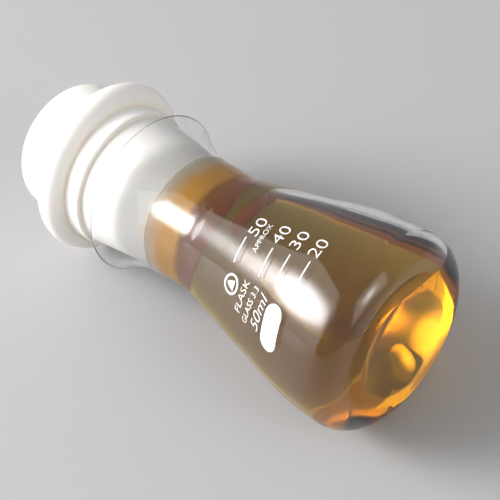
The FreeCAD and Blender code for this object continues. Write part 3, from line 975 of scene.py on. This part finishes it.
class FLASK_OT_words(bpy.types.Operator):
    """Fires the words, the plain ring sign and the writing field on the glass"""
    bl_idname = "flask.words"
    bl_label = "Words and writing field"

    def execute(self, context):
        scene, p = context.scene, in_mm(context.scene.flask_print)
        enamel = shared_enamel(scene)
        for name, (s, a, text, high, wide, skew, slant) in WORDS.items():
            flat = flat_word(text, high, wide, slant, p.boldness)
            word = fired(flat, s, a, skew, scene, enamel, FINE)
            print_piece(name, NODE_OF[name], [word], enamel)
        s, a, radius, line = RING
        cone = flat_strip([(x * radius, CONE_FOOT * radius, y * radius) for x, y in CONE])
        sign = [fired(flat_ring(radius, line), s, a, 0, scene, enamel, COARSE),
                fired(cone, s, a, 0, scene, enamel, FINE)]
        print_piece("ring_sign", "ring_mark", sign, enamel)
        s, a, wide, long, skew = PATCH
        field = fired(rounded_strip(wide, long), s, a, skew, scene, enamel, MEDIUM)
        print_piece("writing_field", "writing_patch", [field], enamel)
        return {"FINISHED"}


# ---- stage ----
# each light: name, bearing from +X towards +Y, height angle (degrees), distance (m),
# width and height (m), power (W), strength at its middle and at its rim, colour
LIGHTS = (
    ("key_softbox", 42, 27, 1.5, 1.94, 1.52, 104, 2.9, 0.10, (1.0, 0.985, 1.0)),
    ("fill_softbox", 182, 30, 1.3, 0.95, 0.95, 15, 1.2, 0.2, (1.0, 0.99, 0.97)),
)
AIM = (0.0, 0.0, 0.024)
GLOW_POWER = 3.0         # how quickly a softbox fades from its middle
FLOOR_RADIUS, FLOOR_FACETS, FLOOR_SHADE = 4.0, 96, 0.94
WORLD_COLOUR, WORLD_STRENGTH = (0.36, 0.36, 0.37, 1), 1.0
BOUNCES = 32
SENSOR, CLIP_NEAR, CLIP_FAR = 36.0, 0.01, 20.0


def soften(lamp, middle, rim):
    """Makes a softbox brightest at the lamp behind its middle."""
    lamp.use_nodes = True
    tree = lamp.node_tree
    spot = tree.nodes.new("ShaderNodeNewGeometry").outputs["Parametric"]
    off = node(tree, "ShaderNodeVectorMath", {0: spot, 1: (0.5, 0.5, 0.0)},
               operation="SUBTRACT")
    flat = node(tree, "ShaderNodeVectorMath", {0: off[0], 1: (1.0, 1.0, 0.0)},
                operation="MULTIPLY")
    away = node(tree, "ShaderNodeVectorMath", {0: flat[0]}, operation="LENGTH")
    near = node(tree, "ShaderNodeMapRange",
                {"Value": away["Value"], "From Min": 0.02, "From Max": 0.5,
                 "To Min": 1.0, "To Max": 0.0}, interpolation_type="SMOOTHSTEP")
    glow = maths(tree, "MULTIPLY_ADD", maths(tree, "POWER", near["Result"], GLOW_POWER),
                 middle, rim)
    tree.links.new(glow, tree.nodes["Emission"].inputs["Strength"])


def floor_material(tone):
    """Pale matt floor with a barely visible tone change."""
    made, tree, shader, place = material("Pale floor", Roughness=0.55)
    mottle = mottle_on(tree, place, tone, tuple(c * FLOOR_SHADE for c in tone), Scale=4.0,
                       Share=0.5, Grain_Scale=900.0)
    tree.links.new(mottle["Color"], shader.inputs["Base Color"])
    return made


def camera_place(stage):
    """Where the camera stands and how it is turned."""
    a, e = stage.azimuth, stage.elevation
    back = Vector((math.sin(a) * math.cos(e), -math.cos(a) * math.cos(e), math.sin(e)))
    side = Vector((0, 0, 1)).cross(back).normalized()
    level = Matrix((side, back.cross(side), back)).transposed()
    turn = Matrix.Rotation(stage.roll, 3, back) @ level
    return Vector(stage.view_point) + back * stage.distance, turn.to_quaternion()


class FLASK_OT_stage(bpy.types.Operator):
    """Sets the pale floor, the soft lights and the camera"""
    bl_idname = "flask.stage"
    bl_label = "Stage"

    def execute(self, context):
        scene, stage = context.scene, context.scene.flask_stage
        bm = bmesh.new()
        bmesh.ops.create_circle(bm, cap_ends=True, radius=FLOOR_RADIUS, segments=FLOOR_FACETS)
        floor = object_from("floor", bm)
        floor.data.materials.append(floor_material(stage.floor_tone))
        for name, bearing, height, far, wide, tall, power, middle, rim, colour in LIGHTS:
            lamp = bpy.data.lights.new(name, "AREA")
            lamp.shape, lamp.size, lamp.size_y = "RECTANGLE", wide, tall
            lamp.energy, lamp.color = power * stage.power, colour
            soften(lamp, middle, rim)
            holder = bpy.data.objects.new(name, lamp)
            scene.collection.objects.link(holder)
            a, e = math.radians(bearing), math.radians(height)
            away = Vector((math.cos(a) * math.cos(e), math.sin(a) * math.cos(e), math.sin(e)))
            holder.location = Vector(AIM) + away * far
            holder.rotation_euler = away.to_track_quat("Z", "Y").to_euler()
        world = bpy.data.worlds.new("Studio")
        world.use_nodes = True
        sky = world.node_tree.nodes["Background"].inputs
        sky["Color"].default_value, sky["Strength"].default_value = WORLD_COLOUR, WORLD_STRENGTH
        scene.world = world
        scene.view_settings.view_transform = "Standard"
        scene.cycles.max_bounces = scene.cycles.transmission_bounces = BOUNCES
        camera = bpy.data.objects.new("camera", bpy.data.cameras.new("camera"))
        scene.collection.objects.link(camera)
        camera.data.lens, camera.data.sensor_width = stage.lens, SENSOR
        camera.data.clip_start, camera.data.clip_end = CLIP_NEAR, CLIP_FAR
        camera.rotation_mode = "QUATERNION"
        camera.location, camera.rotation_quaternion = camera_place(stage)
        scene.camera = camera
        return {"FINISHED"}


# ---- add-on ----
class FLASK_PT_panel(bpy.types.Panel):
    """Sizes, colours and the steps that make the flask"""
    bl_label = "Conical flask"
    bl_idname = "FLASK_PT_panel"
    bl_space_type = "VIEW_3D"
    bl_region_type = "UI"
    bl_category = "Flask"

    def draw(self, context):
        for label, settings, steps in STEPS:
            box = self.layout.box()
            box.label(text=label)
            group_of = getattr(context.scene, settings)
            for key in group_of.__annotations__:
                box.prop(group_of, key)
            for step in steps:
                box.operator(step)


STEPS = (
    ("Glass", "flask_glass", ("flask.glass",)),
    ("Liquid", "flask_liquid", ("flask.liquid",)),
    ("Stopper", "flask_stopper", ("flask.stopper",)),
    ("Print", "flask_print", ("flask.scale", "flask.words")),
    ("Finish", "flask_finish", ()),
    ("Stage", "flask_stage", ("flask.stage",)),
)
SETTINGS = {"flask_glass": FlaskGlassSizes, "flask_liquid": FlaskLiquidSizes,
            "flask_stopper": FlaskStopperSizes, "flask_print": FlaskPrintSizes,
            "flask_finish": FlaskFinish, "flask_stage": FlaskStage}
CLASSES = (*SETTINGS.values(), FLASK_OT_glass, FLASK_OT_liquid, FLASK_OT_stopper,
           FLASK_OT_scale, FLASK_OT_words, FLASK_OT_stage, FLASK_PT_panel)


def register():
    for cls in CLASSES:
        bpy.utils.register_class(cls)
    for name, cls in SETTINGS.items():
        setattr(bpy.types.Scene, name, PointerProperty(type=cls))


def unregister():
    for name in SETTINGS:
        delattr(bpy.types.Scene, name)
    for cls in reversed(CLASSES):
        bpy.utils.unregister_class(cls)


def main():
    register()
    bpy.ops.flask.stage()
    bpy.ops.flask.glass()
    bpy.ops.flask.liquid()
    bpy.ops.flask.stopper()
    bpy.ops.flask.scale()
    bpy.ops.flask.words()


if __name__ == "__main__":
    main()
